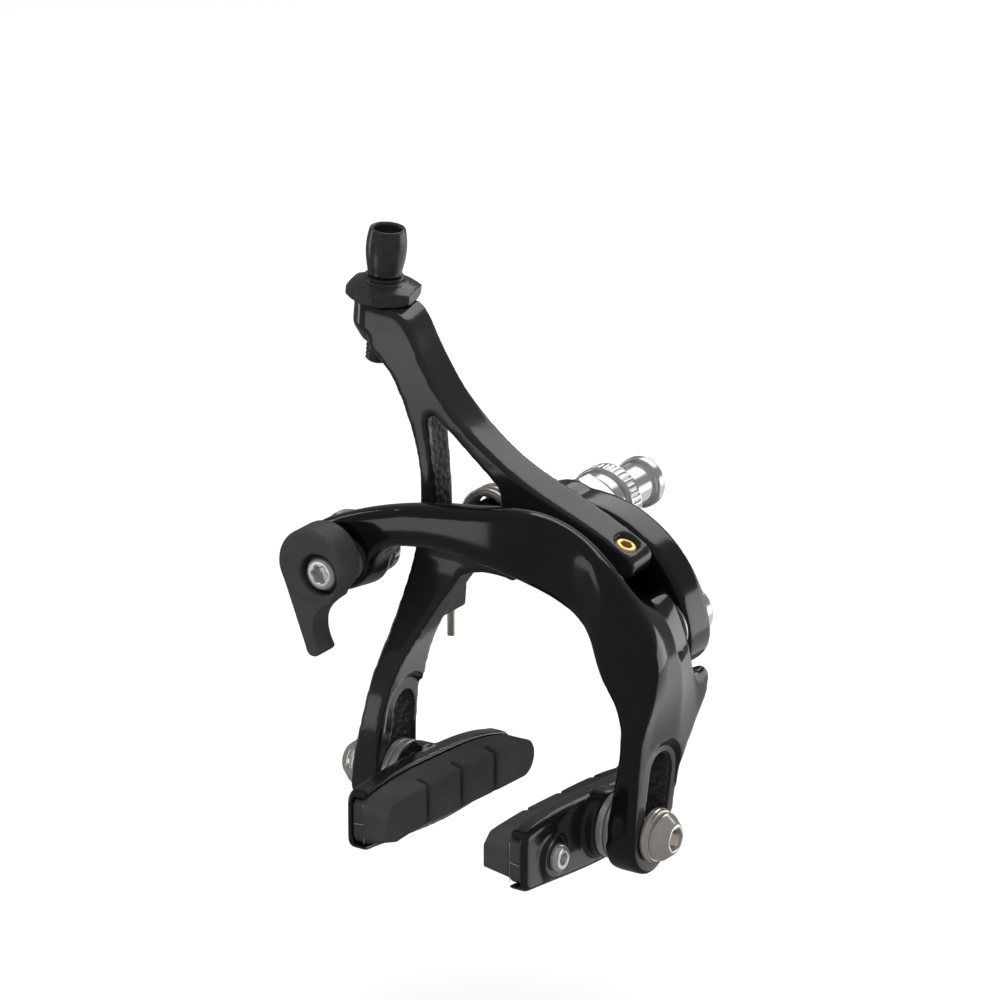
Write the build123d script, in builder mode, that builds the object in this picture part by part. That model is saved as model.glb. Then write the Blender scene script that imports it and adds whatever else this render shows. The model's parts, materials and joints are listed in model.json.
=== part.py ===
from build123d import *
import math
import os

os.makedirs("parts", exist_ok=True)

# Dual-pivot side-pull rim brake caliper, millimetres.
# Origin on the centre bolt's axis, in the face that seats on the fork or frame.
# +X is right seen from the front, +Y is rearward along the bolt, +Z is up.

# ---------------------------------------------------------------- driving dimensions
RUN = 0.05  # radial clearance of a turning fit

# layers along the bolt, front to rear
ARCH_FRONT = -41.0
ARCH_REAR = -29.3
ARM_FRONT = -28.5
ARM_REAR = -21.4
BRACKET_FRONT = -21.0
BRACKET_REAR = -13.0
LOCKNUT_REAR = -7.6
SPACER_REAR = -4.2
SEAT_RECESS = 0.7  # the seat ring stands this far behind the washer's web

# centre bolt
BOLT_R = 3.0
HUB_R = 9.0
HEAD_R = 5.1
HEAD_T = 2.7
COUNTERBORE_R = 5.8
WASHER_T = 0.4
WEB_FRONT = -25.1  # floor of the hub's counterbore
BOLT_END = 7.2

# side pivot
SIDE_X = 23.5
SIDE_Z = -14.5
SIDE_BORE_END = -33.5
BUSH_R = 4.2

# rear bracket, an arc over the tyre
ARC_X = 5.0
ARC_Z = -18.3
ARC_OUTER = 25.2
ARC_INNER = 12.0
ARC_END_DEG = 5.0
ARC_START_DEG = 103.0

# return spring
COIL_X = -15.4
COIL_Z = -1.2
WIRE_R = 0.8
LEG_WIRE_R = 0.75
LEG_BITE = 0.3
SHORT_LEG_END = -3.0
COIL_R = 5.0
COIL_TURNS = 3
KNEE = (-26.6, -14.5)  # bend of the long leg
LEG_TIP = (-26.6, -28.6)
SLIDER_FRONT = -27.0
COIL_FRONT = -20.3
EAR_FRONT = -14.3

# recessed mounting nut
NUT_R = 4.0
NUT_FLANGE_R = 5.0
NUT_FRONT = 0.4
NUT_FLANGE_Y = 8.7
NUT_REAR = 11.2

# adjuster, on an axis that leans towards +X
LEAN = 5.0
EYE_X = -35.15
EYE_Y = -25.0
EYE_Z = 40.5
EYE_R = 5.3
EYE_STRAIGHT = 5.2
EYE_DEPTH = 8.4
THREAD_R = 2.6
THREAD_PITCH = 0.8
THREAD_DOWN = 12.7
BARREL_TOP = 13.8
HOUSING_R = 2.55
SOCKET_DEPTH = 8.5
CHEEK_FRONT = EYE_Y - EYE_R + 0.1  # the arm's front face beside the eye
ADJ_NUT_T = 4.4
ADJ_NUT_ACROSS = 12.6

# centring screw: tip on the arch's ledge, head in the finger's end
TIP_X = 15.4
TIP_Z = -5.5
SCREW_LEAN = 23.0
SCREW_LENGTH = 8.4
SCREW_R = 2.2
TIP_ROUND = 2.6  # the tip is domed, so that it rolls on the ledge
LEDGE_GAP = 0.12

# arch of the front arm: its top is highest along a line behind the front face and falls to the rear
CREST_Y = -37.5

# quick-release
CAM_X = -35.2
CAM_Z = -8.1
CAM_R = 4.0
KNOB_X = -37.3
KNOB_Z = -6.7
KNOB_R = 7.1
KNOB_FRONT = -47.2
KNOB_REAR = -40.4
CLAMP_X = -41.4
CLAMP_Z = -9.8
CLAMP_R = 7.0

# brake shoes: the pad bolt's height and depth, and the legs' faces
SHOE_Y = -35.5
SHOE_Z = -49.0
SLOT_LEAN = 12.0
SLOT_TRAVEL = 12.0
SLOT_HALF = 3.15
INNER_SEAT_R = 6.7  # flat seats milled along the slot, wider than the washers that slide on them
OUTER_SEAT_R = 5.6
SEAT_DEPTH = 5.0
PAD_BOLT_R = 2.9
LEG_IN = 25.4
LEG_OUT = 31.5
LEG_END_R = 6.9
PAD_FACE = 10.6
HOLDER_IN = 15.9
HOLDER_FACE = 19.9
HOLDER_OUT = 22.4  # top of the round hub that takes the washers
CHANNEL_FLOOR = 18.6
GROOVE_PITCH = 11.5
GROOVE_WIDTH = 1.3
GROOVE_DEPTH = 2.6
PAD_SCREW = (-16.4, -1.2)  # from the pad bolt, in Y and Z
SCREW_BOSS = 0.9
HUB_SEAT_R = 6.5
SCREW_BOSS_R = 4.2
BUTTON_R = 2.6
BUTTON_T = 1.5


# ---------------------------------------------------------------- helpers
def front_plane(y):
    """Sketch plane across the bolt at depth y: local x is X, local y is Z, extrude goes forward."""
    return Plane.XZ.offset(-y)


def side_plane(x):
    """Sketch plane at width x: local x is Y, local y is Z, extrude goes towards +X."""
    return Plane.YZ.offset(x)


def save(part, name):
    part.label = name
    export_step(part, "parts/" + name + ".step")


def ring_y(x, z, outer, inner, front, rear):
    """A flat ring about an axis along Y."""
    with BuildPart() as ring:
        with BuildSketch(front_plane(rear)):
            with Locations((x, z)):
                Circle(outer)
                if inner > 0:
                    Circle(inner, mode=Mode.SUBTRACT)
        extrude(amount=rear - front)
    return ring.part


def hex_socket(plane, across, depth):
    """Cut a hexagon socket into the part in hand, against the plane's normal."""
    with BuildSketch(plane) as socket:
        RegularPolygon(radius=across / math.sqrt(3), side_count=6)
    extrude(socket.sketch, amount=-depth, mode=Mode.SUBTRACT)


def lobe_socket(plane, across, depth):
    """Cut a six-lobed socket into the part in hand, against the plane's normal."""
    with BuildSketch(plane) as socket:
        Circle(0.38 * across)
        with PolarLocations(0.36 * across, 6):
            Circle(0.14 * across)
    extrude(socket.sketch, amount=-depth, mode=Mode.SUBTRACT)


adjuster_dir = (math.sin(math.radians(LEAN)), 0, math.cos(math.radians(LEAN)))
screw_dir = (math.sin(math.radians(SCREW_LEAN)), 0, math.cos(math.radians(SCREW_LEAN)))


def adjuster_plane(height):
    """Plane square to the adjuster's axis, at a height above the eye's top face."""
    origin = (EYE_X + adjuster_dir[0] * height, EYE_Y, EYE_Z + adjuster_dir[2] * height)
    return Plane(origin=origin, x_dir=(0, 1, 0), z_dir=adjuster_dir)


def screw_plane(height):
    """Plane square to the centring screw, at a height above its tip."""
    origin = (TIP_X + screw_dir[0] * height, EYE_Y, TIP_Z + screw_dir[2] * height)
    return Plane(origin=origin, x_dir=(0, 1, 0), z_dir=screw_dir)


# ---------------------------------------------------------------- rear bracket and bolt stack
with BuildPart() as rear_bracket:
    end_x = ARC_X + 0.5 * (ARC_OUTER + ARC_INNER) * math.cos(math.radians(ARC_END_DEG))
    end_z = ARC_Z + 0.5 * (ARC_OUTER + ARC_INNER) * math.sin(math.radians(ARC_END_DEG))
    with BuildSketch(front_plane(BRACKET_REAR)) as bracket_outline:
        with BuildLine():
            sweep_deg = ARC_START_DEG - ARC_END_DEG
            outer_arc = CenterArc((ARC_X, ARC_Z), ARC_OUTER, ARC_END_DEG, sweep_deg)
            inner_arc = CenterArc((ARC_X, ARC_Z), ARC_INNER, ARC_END_DEG, sweep_deg)
            Line(outer_arc @ 0, inner_arc @ 0)
            Line(outer_arc @ 1, inner_arc @ 1)
        make_face()
        with Locations((end_x, end_z)):
            Circle(0.5 * (ARC_OUTER - ARC_INNER))
        Circle(HUB_R - 1.2)
        fillet(bracket_outline.vertices().sort_by(Axis.X)[:2], 2.0)
    extrude(amount=BRACKET_REAR - BRACKET_FRONT)
    fillet(rear_bracket.faces().sort_by(Axis.Y)[0].outer_wire().edges(), 0.8)
    fillet(rear_bracket.faces().sort_by(Axis.Y)[-1].outer_wire().edges(), 0.8)
    # ear and post for the spring's coil
    with BuildSketch(front_plane(BRACKET_REAR)):
        with BuildLine():
            Polyline((0, 5.5), (COIL_X, COIL_Z + 4.6), (COIL_X, COIL_Z - 4.6), (0, -5.5), close=True)
        make_face()
        with Locations((COIL_X, COIL_Z)):
            Circle(4.6)
    extrude(amount=BRACKET_REAR - EAR_FRONT)
    with BuildSketch(front_plane(EAR_FRONT)):
        with Locations((COIL_X, COIL_Z)):
            Circle(COIL_R - WIRE_R - 0.7)
    extrude(amount=EAR_FRONT - (COIL_FRONT - 0.6))
    with BuildSketch(front_plane(BRACKET_REAR)):
        Circle(BOLT_R + RUN)
        with Locations((SIDE_X, SIDE_Z)):
            Circle(BUSH_R)
    extrude(amount=BRACKET_REAR - BRACKET_FRONT, mode=Mode.SUBTRACT)
    # slot in the hub's front face that holds the spring's short leg
    with BuildSketch(front_plane(COIL_FRONT + WIRE_R + 0.15)):
        with Locations((SHORT_LEG_END - 2.4, COIL_Z - COIL_R)):
            Rectangle(6.4, 2 * WIRE_R + 0.3)
    extrude(amount=3.0, mode=Mode.SUBTRACT)
save(rear_bracket.part, "rear_bracket")

with BuildPart() as centre_bolt:
    head_front = WEB_FRONT - WASHER_T - HEAD_T
    with BuildSketch(front_plane(WEB_FRONT - WASHER_T)):
        Circle(HEAD_R)
    extrude(amount=HEAD_T)
    fillet(centre_bolt.edges().filter_by(GeomType.CIRCLE).sort_by(Axis.Y)[0], 0.8)
    with BuildSketch(front_plane(BOLT_END)):
        Circle(BOLT_R)
    extrude(amount=BOLT_END - (WEB_FRONT - WASHER_T))
    chamfer(centre_bolt.edges().filter_by(GeomType.CIRCLE).sort_by(Axis.Y)[-1], 0.6)
    hex_socket(front_plane(head_front), 5.0, 1.9)
save(centre_bolt.part, "centre_bolt")

save(ring_y(0, 0, HEAD_R + 0.4, BOLT_R + RUN, WEB_FRONT - WASHER_T, WEB_FRONT), "front_thrust_washer")
save(ring_y(0, 0, HUB_R - 2.4, BOLT_R + RUN, ARM_REAR, BRACKET_FRONT), "rear_thrust_washer")

with BuildPart() as locknut:
    with BuildSketch(front_plane(LOCKNUT_REAR)):
        RegularPolygon(radius=6.4, side_count=6, major_radius=False, rotation=30)
        Circle(BOLT_R + RUN, mode=Mode.SUBTRACT)
    extrude(amount=LOCKNUT_REAR - BRACKET_REAR)
    # the corners are turned down to a cone at both ends
    with BuildSketch(Plane.XY):
        with BuildLine():
            mid = 0.5 * (LOCKNUT_REAR + BRACKET_REAR)
            half = 0.5 * (LOCKNUT_REAR - BRACKET_REAR)
            Polyline((0, mid - half), (6.3, mid - half), (7.6, mid - half + 0.9),
                     (7.6, mid + half - 0.9), (6.3, mid + half), (0, mid + half), close=True)
        make_face()
    revolve(axis=Axis.Y, mode=Mode.INTERSECT)
save(locknut.part, "locknut")

with BuildPart() as spacer_washer:
    add(ring_y(0, 0, 6.2, BOLT_R + RUN, LOCKNUT_REAR, SPACER_REAR))
    chamfer(spacer_washer.edges().filter_by(GeomType.CIRCLE).group_by(SortBy.RADIUS)[-1], 0.5)
save(spacer_washer.part, "spacer_washer")

with BuildPart() as seating_washer:
    with BuildSketch(Plane.XY):
        with BuildLine():
            Polyline((BOLT_R + RUN, SPACER_REAR), (6.5, SPACER_REAR), (6.9, SPACER_REAR + 0.4),
                     (6.9, -0.5), (6.5, 0), (4.7, 0), (4.7, -SEAT_RECESS),
                     (BOLT_R + RUN, -SEAT_RECESS), close=True)
        make_face()
    revolve(axis=Axis.Y)
    # knurled rim
    with BuildSketch(front_plane(-0.9)):
        with PolarLocations(6.9, 36):
            Circle(0.22)
    extrude(amount=-0.9 - (SPACER_REAR + 0.8), mode=Mode.SUBTRACT)
save(seating_washer.part, "seating_washer")

with BuildPart() as mounting_nut:
    with BuildSketch(Plane.XY):
        with BuildLine():
            Polyline((0, NUT_FRONT), (NUT_R - 0.3, NUT_FRONT), (NUT_R, NUT_FRONT + 0.3), (NUT_R, NUT_FLANGE_Y),
                     (NUT_FLANGE_R - 0.3, NUT_FLANGE_Y), (NUT_FLANGE_R, NUT_FLANGE_Y + 0.3),
                     (NUT_FLANGE_R, NUT_REAR - 0.4), (NUT_FLANGE_R - 0.4, NUT_REAR), (0, NUT_REAR), close=True)
        make_face()
    revolve(axis=Axis.Y)
    with BuildSketch(front_plane(8.0)):
        Circle(BOLT_R + RUN)
    extrude(amount=8.0, mode=Mode.SUBTRACT)
    hex_socket(Plane.XZ.offset(-NUT_REAR).rotated((0, 180, 0)), 5.0, 2.6)
save(mounting_nut.part, "mounting_nut")

save(ring_y(SIDE_X, SIDE_Z, BUSH_R, BOLT_R + RUN, BRACKET_FRONT, BRACKET_REAR), "side_bush")

# ---------------------------------------------------------------- return spring
with BuildPart() as return_spring:
    coil_pitch = 2 * WIRE_R + 0.1
    coil_rear = COIL_FRONT + coil_pitch * COIL_TURNS
    helix = Helix(pitch=coil_pitch, height=coil_pitch * COIL_TURNS, radius=COIL_R,
                  center=(COIL_X, COIL_FRONT, COIL_Z), direction=(0, 1, 0), mode=Mode.PRIVATE)
    coil_axis = Axis((COIL_X, 0, COIL_Z), (0, 1, 0))
    coil_path = helix.rotate(coil_axis, 180)
    with BuildSketch(Plane(origin=coil_path @ 0, z_dir=coil_path % 0)):
        Circle(WIRE_R)
    sweep(path=coil_path, is_frenet=True)
    # each leg is let a little way into the coil's end, where the wire turns
    leg_z = COIL_Z - COIL_R
    # short leg, held in the bracket's hub
    with BuildSketch(side_plane(SHORT_LEG_END)):
        with Locations((COIL_FRONT, leg_z)):
            Circle(LEG_WIRE_R)
    extrude(amount=COIL_X - LEG_BITE - SHORT_LEG_END)
    # long leg, down to the slider on the left leg
    with BuildLine(front_plane(coil_rear)) as long_leg:
        FilletPolyline((COIL_X + LEG_BITE, leg_z), (-19.4, leg_z), KNEE, LEG_TIP, radius=2.6)
    with BuildSketch(side_plane(COIL_X + LEG_BITE)):
        with Locations((coil_rear, leg_z)):
            Circle(LEG_WIRE_R)
    sweep(path=long_leg.line)
save(return_spring.part, "return_spring")


# ---------------------------------------------------------------- arm on the centre bolt
def plate_outline(top_edge):
    """Closed outline of the left arm's plate under a given upper edge, in X and Z."""
    with BuildSketch() as outline:
        with BuildLine():
            upper = Spline(*top_edge)
            finger = ThreePointArc(upper @ 1, (22.3, -1.0), (20.3, -3.5))
            under = Spline(finger @ 1, (14.5, -2.5), (9.4, -3.9))
            hub = RadiusArc(under @ 1, (-4.0, -9.0), -10.2)
            link = Spline(hub @ 1, (-11.0, -8.6), (-16.0, -10.4))
            foot = Line(link @ 1, (-26.8, -10.4))
            left = Spline(foot @ 1, (-25.6, -4.0), (-24.8, 3.0), (-25.2, 10.5), (-27.0, 18.0),
                          (-29.3, 24.4), (-32.0, 28.8), (-34.8, 31.2), (-37.0, 33.0))
            Polyline(left @ 1, (-37.0, EYE_Z - 0.3), upper @ 0)
        make_face()
    return outline.sketch


FRONT_EDGE = [(-29.4, 40.0), (-26.8, 38.2), (-24.4, 33.8), (-21.9, 28.6), (-18.6, 23.8), (-14.9, 19.9),
              (-9.9, 16.2), (-4.8, 12.8), (0.8, 9.8), (6.3, 7.6), (13.2, 4.9), (20.0, 1.6)]
REAR_EDGE = [(-29.0, 39.9), (-27.2, 38.1), (-25.1, 34.4), (-22.6, 30.2), (-19.6, 25.8), (-15.6, 21.4),
             (-11.2, 17.6), (-6.0, 14.0), (0.6, 10.9), (6.3, 8.7), (13.6, 5.7), (20.8, 2.0)]


def pad_slot(half_width):
    """Outline swept in Y and Z by a round of the given radius that slides with the pad bolt."""
    with BuildSketch() as slot:
        middle = SLOT_TRAVEL / 2
        with Locations((SHOE_Y + middle * math.sin(math.radians(SLOT_LEAN)),
                        SHOE_Z + middle * math.cos(math.radians(SLOT_LEAN)))):
            SlotCenterToCenter(SLOT_TRAVEL, 2 * half_width, rotation=90 - SLOT_LEAN)
    return slot.sketch


def cut_pad_slot(side):
    """Cut the pad bolt's slot and its two flat seats into the leg in hand; side is 1 or -1."""
    cuts = ((0, 90, SLOT_HALF), (LEG_IN - SEAT_DEPTH, SEAT_DEPTH, INNER_SEAT_R), (LEG_OUT, SEAT_DEPTH, OUTER_SEAT_R))
    for start, length, half_width in cuts:
        with BuildSketch(side_plane(side * start)) as cut:
            add(pad_slot(half_width))
        extrude(cut.sketch, amount=side * length, mode=Mode.SUBTRACT)


# left leg: its front view and its side view, intersected
with BuildPart() as left_leg:
    with BuildSketch(front_plane(-20.0)):
        with BuildLine():
            outer = Spline((-25.6, -4.0), (-26.8, -10.4), (-27.8, -17.0), (-28.6, -25.0), (-29.2, -32.0), (-30.0, -39.0),
                           (-30.9, -44.0), (-LEG_OUT, SHOE_Z), (-LEG_OUT, -58.0))
            inner = Spline((-15.0, -4.0), (-16.0, -10.4), (-18.9, -15.5), (-21.9, -22.0), (-23.7, -28.0), (-24.6, -34.0),
                           (-25.1, -40.0), (-LEG_IN, -45.0), (-LEG_IN, -58.0))
            Line(outer @ 0, inner @ 0)
            Line(outer @ 1, inner @ 1)
        make_face()
    extrude(amount=25)
    with BuildSketch(side_plane(-36)):
        with BuildLine():
            rear = Spline((ARM_REAR, -8.0), (-23.3, -15.2), (-25.2, -20.0), (-26.4, -24.6), (-27.0, -29.5),
                          (-27.8, -34.5), (SHOE_Y + LEG_END_R, -41.0), (SHOE_Y + LEG_END_R, SHOE_Z - 1.0))
            end = ThreePointArc(rear @ 1, (SHOE_Y, SHOE_Z - 1.0 - LEG_END_R), (SHOE_Y - LEG_END_R, SHOE_Z - 1.0))
            front = Spline(end @ 1, (-42.3, -44.0), (-41.2, -36.0), (-38.7, -29.0), (-34.8, -23.0),
                           (-30.9, -16.0), (ARM_FRONT, -8.0))
            Line(front @ 1, rear @ 0)
        make_face()
    extrude(amount=24, mode=Mode.INTERSECT)

with BuildPart() as y_arm:
    # plate: the upper face slopes back from the front edge to the rear edge
    for depth, edge in ((CHEEK_FRONT, FRONT_EDGE), (ARM_FRONT, FRONT_EDGE), (ARM_REAR, REAR_EDGE)):
        with BuildSketch(front_plane(depth)):
            add(plate_outline(edge))
    loft(ruled=True)
    # its front face swells forward towards the top, to run into the eye
    with BuildSketch(side_plane(EYE_X - EYE_R)) as cleared:
        with BuildLine():
            swell = Spline((ARM_FRONT, 12.0), (ARM_FRONT - 0.2, 16.0), (-29.4, 25.0), (CHEEK_FRONT, 35.0))
            Polyline(swell @ 1, (CHEEK_FRONT - 1, 35.0), (CHEEK_FRONT - 1, -15.0), (ARM_FRONT, -15.0), swell @ 0)
        make_face()
    extrude(cleared.sketch, amount=80, mode=Mode.SUBTRACT)
    with BuildSketch(front_plane(ARM_FRONT)) as outboard:
        with Locations((EYE_X - EYE_R, EYE_Z)):
            Rectangle(2 * EYE_R, 40)
    extrude(outboard.sketch, amount=ARM_FRONT - CHEEK_FRONT + 1, mode=Mode.SUBTRACT)
    # triangular opening between the two struts and the hub
    with BuildSketch(front_plane(ARM_REAR + 1)) as opening:
        with BuildLine():
            hub_side = RadiusArc((-7.6, 9.2), (-9.6, -2.5), 11.0)
            base = Line(hub_side @ 1, (-21.6, -3.6))
            left_wall = Spline(base @ 1, (-22.1, 8.0), (-23.2, 19.2))
            Polyline(left_wall @ 1, (-21.9, 21.2), hub_side @ 0)
        make_face()
        fillet(opening.vertices(), 1.1)
    extrude(amount=ARM_REAR - ARM_FRONT + 2, mode=Mode.SUBTRACT)
    # eye for the adjuster
    with BuildSketch(adjuster_plane(0)):
        Circle(EYE_R)
    extrude(amount=-EYE_STRAIGHT)
    with BuildSketch(adjuster_plane(-EYE_STRAIGHT)):
        Circle(EYE_R)
    with BuildSketch(adjuster_plane(-EYE_DEPTH)):
        Circle(EYE_R - 2.0)
    loft()
    add(left_leg.part)
    # hub: counterbore for the bolt's head, and the bush's bore
    with BuildSketch(front_plane(WEB_FRONT)):
        Circle(COUNTERBORE_R)
    extrude(amount=WEB_FRONT - ARM_FRONT + 1, mode=Mode.SUBTRACT)
    with BuildSketch(front_plane(ARM_REAR + 1)):
        Circle(BUSH_R)
    extrude(amount=ARM_REAR + 1 - WEB_FRONT, mode=Mode.SUBTRACT)
    # flat seat of the adjusting nut, and the bore of the eye
    with BuildSketch(adjuster_plane(0)):
        Circle(8.5)
    extrude(amount=3, mode=Mode.SUBTRACT)
    with BuildSketch(adjuster_plane(1)):
        Circle(THREAD_R + RUN)
    extrude(amount=-12, mode=Mode.SUBTRACT)
    # hole and shallow seat of the centring screw
    with BuildSketch(screw_plane(-1)):
        Circle(SCREW_R + RUN)
    extrude(amount=SCREW_LENGTH + 4, mode=Mode.SUBTRACT)
    cut_pad_slot(-1)
save(y_arm.part, "y_arm")

save(ring_y(0, 0, BUSH_R, BOLT_R + RUN, WEB_FRONT, ARM_REAR), "centre_bush")


# ---------------------------------------------------------------- arm on the side pivot
ARCH_TOP = [(-39.2, 0.2), (-32.0, 3.2), (-25.0, 5.4), (-18.4, 6.9), (-10.0, 8.3), (-3.0, 9.5), (4.0, 10.5), (10.0, 10.2),
            (17.0, 7.9), (22.5, 4.4), (27.0, -0.2), (31.0, -5.4), (34.0, -10.4), (35.1, -15.5), (34.3, -21.0),
            (32.5, -27.0), (31.7, -34.0), (31.6, -41.0), (LEG_OUT, -47.0), (LEG_OUT, -58.0)]
ARCH_BOTTOM = [(LEG_IN, -58.0), (LEG_IN, -46.0), (26.2, -40.0), (27.0, -33.5), (27.0, -27.0), (25.4, -22.2),
               (22.9, -18.6), (20.9, -14.6), (18.4, -10.4), (14.5, -7.6), (8.5, -5.0), (1.0, -3.0),
               (-7.0, -2.0), (-14.0, -1.8), (-20.0, -2.4), (-25.5, -3.8), (-28.6, -6.4), (-30.6, -10.6)]
ARCH_REAR_TOP = [(-39.2, -2.2), (-32.0, 0.8), (-25.0, 2.9), (-18.4, 4.3), (-10.0, 5.4), (-3.0, 6.1), (3.5, 6.3),
                 (8.8, 5.4), (13.6, 3.2), (18.2, -0.9), (22.6, -4.3), (27.2, -6.2), (30.8, -9.6), (32.8, -14.6),
                 (33.6, -21.0), (33.2, -27.0), (32.6, -34.0), (32.0, -41.0), (LEG_OUT, -47.0), (LEG_OUT, -58.0)]
ARCH_HOOK_TOP = ARCH_REAR_TOP[:12] + [(28.2, -10.3), (30.8, -18.5), (31.3, -21.5), (31.8, -25.0), (32.2, -34.0),
                                      (32.0, -41.0), (LEG_OUT, -47.0), (LEG_OUT, -58.0)]
LEDGE_SLOPE = math.tan(math.radians(SCREW_LEAN))


def ledge_z(x):
    """Height of the arch's ledge under the centring screw, square to the screw."""
    drop = LEDGE_GAP / math.cos(math.radians(SCREW_LEAN))
    return TIP_Z - drop - (x - TIP_X) * LEDGE_SLOPE


SHOULDER_REAR = BRACKET_FRONT - WASHER_T
CREST_REAR = [(23.1, -7.4), (24.8, -6.2), (26.4, -7.2), (28.2, -10.3), (29.8, -14.3), (30.8, -18.5), (31.3, -21.5)]
CREST_FRONT = [(24.0, -6.4), (26.0, -6.3), (28.2, -7.8), (30.6, -11.0), (32.2, -15.4), (33.0, -19.0), (33.3, -21.5)]

with BuildPart() as c_arm:
    # arch and right leg from the front: the top edge falls from its crest to the rear
    sections = ((-15, ARCH_HOOK_TOP), (SHOULDER_REAR, ARCH_HOOK_TOP), (ARCH_REAR, ARCH_REAR_TOP),
                (CREST_Y, ARCH_TOP), (-45, ARCH_TOP))
    for depth, edge in sections:
        with BuildSketch(front_plane(depth)):
            with BuildLine():
                top = Spline(*edge)
                bottom = Spline(*ARCH_BOTTOM)
                Line(top @ 1, bottom @ 0)
                ThreePointArc(bottom @ 1, (-43.9, -9.6), top @ 0)
            make_face()
    loft(ruled=True)
    # the same from the side: arch, spring hook, tapering leg and its round end
    with BuildSketch(side_plane(-50)):
        with BuildLine():
            hook = Polyline((ARCH_REAR, 14.0), (ARCH_REAR, -16.0), (SHOULDER_REAR, -16.0), (SHOULDER_REAR, -20.6),
                            (-19.9, -21.9), (-17.4, -21.6), (-16.1, -23.0))
            rear = Spline(hook @ 1, (-16.4, -25.0), (-18.2, -27.8), (-21.4, -31.2), (-24.8, -34.6),
                          (-26.9, -38.4), (-28.0, -43.0), (SHOE_Y + LEG_END_R, -47.5),
                          (SHOE_Y + LEG_END_R, SHOE_Z - 1.0))
            end = ThreePointArc(rear @ 1, (SHOE_Y, SHOE_Z - 1.0 - LEG_END_R), (SHOE_Y - LEG_END_R, SHOE_Z - 1.0))
            front = Spline(end @ 1, (-42.2, -44.0), (-41.6, -37.0), (-41.1, -30.0), (ARCH_FRONT, -22.0))
            Polyline(front @ 1, (ARCH_FRONT, 14.0), hook @ 0)
        make_face()
    extrude(amount=90, mode=Mode.INTERSECT)
    # from above: the front face falls back towards the quick-release end
    with BuildSketch(Plane.XY.offset(-60)):
        with BuildLine():
            nose = Spline((-50.0, -38.6), (-36.0, -39.2), (-15.0, -39.9), (5.0, -40.6), (22.0, -41.2), (24.0, -43.0))
            Polyline(nose @ 1, (40.0, -43.0), (40.0, -10.0), (-50.0, -10.0), nose @ 0)
        make_face()
    extrude(amount=80, mode=Mode.INTERSECT)
    # shoulder behind the arch: ledge for the centring screw, and the side pivot's boss
    for depth, edge in ((SHOULDER_REAR, CREST_REAR), (ARCH_REAR - 2, CREST_FRONT)):
        with BuildSketch(front_plane(depth)):
            with BuildLine():
                ledge = Line((12.8, ledge_z(12.8)), (22.2, ledge_z(22.2)))
                crest = Spline(ledge @ 1, *edge)
                Spline(crest @ 1, (26.6, -22.6), (20.6, -20.8), (16.6, -16.0), (14.2, -10.4), ledge @ 0)
            make_face()
    loft(ruled=True)
    with BuildSketch(front_plane(SHOULDER_REAR + 1)):
        with Locations((SIDE_X, SIDE_Z)):
            Circle(BOLT_R + RUN)
    extrude(amount=SHOULDER_REAR + 1 - SIDE_BORE_END, mode=Mode.SUBTRACT)
    # the hook clears the bracket's round end
    with BuildSketch(front_plane(BRACKET_REAR)):
        with Locations((SIDE_X, SIDE_Z)):
            Circle(9.5)
    extrude(amount=BRACKET_REAR - SHOULDER_REAR, mode=Mode.SUBTRACT)
    # bore of the quick-release cam
    with BuildSketch(front_plane(ARCH_REAR + 1)):
        with Locations((CAM_X, CAM_Z)):
            Circle(CAM_R + RUN)
    extrude(amount=ARCH_REAR - ARCH_FRONT + 2, mode=Mode.SUBTRACT)
    cut_pad_slot(1)
save(c_arm.part, "c_arm")

save(ring_y(SIDE_X, SIDE_Z, 6.2, BOLT_R + RUN, SHOULDER_REAR, BRACKET_FRONT), "side_thrust_washer")

with BuildPart() as side_pivot_bolt:
    shank_end = SIDE_BORE_END + 0.5
    with BuildSketch(front_plane(BRACKET_REAR + 0.1)):
        with Locations((SIDE_X, SIDE_Z)):
            Circle(BOLT_R)
    extrude(amount=BRACKET_REAR + 0.1 - shank_end)
    with BuildSketch(front_plane(BRACKET_REAR + 3.3)):
        with Locations((SIDE_X, SIDE_Z)):
            Circle(5.2)
    extrude(amount=3.2)
    fillet(side_pivot_bolt.edges().filter_by(GeomType.CIRCLE).sort_by(Axis.Y)[-1], 1.0)
    socket_plane = Plane(origin=(SIDE_X, BRACKET_REAR + 3.3, SIDE_Z), x_dir=(1, 0, 0), z_dir=(0, 1, 0))
    hex_socket(socket_plane, 4.0, 2.2)
save(side_pivot_bolt.part, "side_pivot_bolt")


# ---------------------------------------------------------------- screws and slider of the left arm
with BuildPart() as centring_screw:
    screw_section = Plane(origin=screw_plane(0).origin, x_dir=screw_dir, z_dir=(0, -1, 0))
    with BuildSketch(screw_section):
        with BuildLine():
            tip_angle = math.degrees(math.asin(SCREW_R / TIP_ROUND))
            dome = CenterArc((TIP_ROUND, 0), TIP_ROUND, 180, -tip_angle)
            Polyline(dome @ 1, (SCREW_LENGTH - 0.4, SCREW_R), (SCREW_LENGTH, SCREW_R - 0.4), (SCREW_LENGTH, 0), dome @ 0)
        make_face()
    revolve(axis=Axis(screw_section.origin, screw_dir))
    hex_socket(screw_plane(SCREW_LENGTH), 2.0, 2.4)
save(centring_screw.part, "centring_screw")

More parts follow.
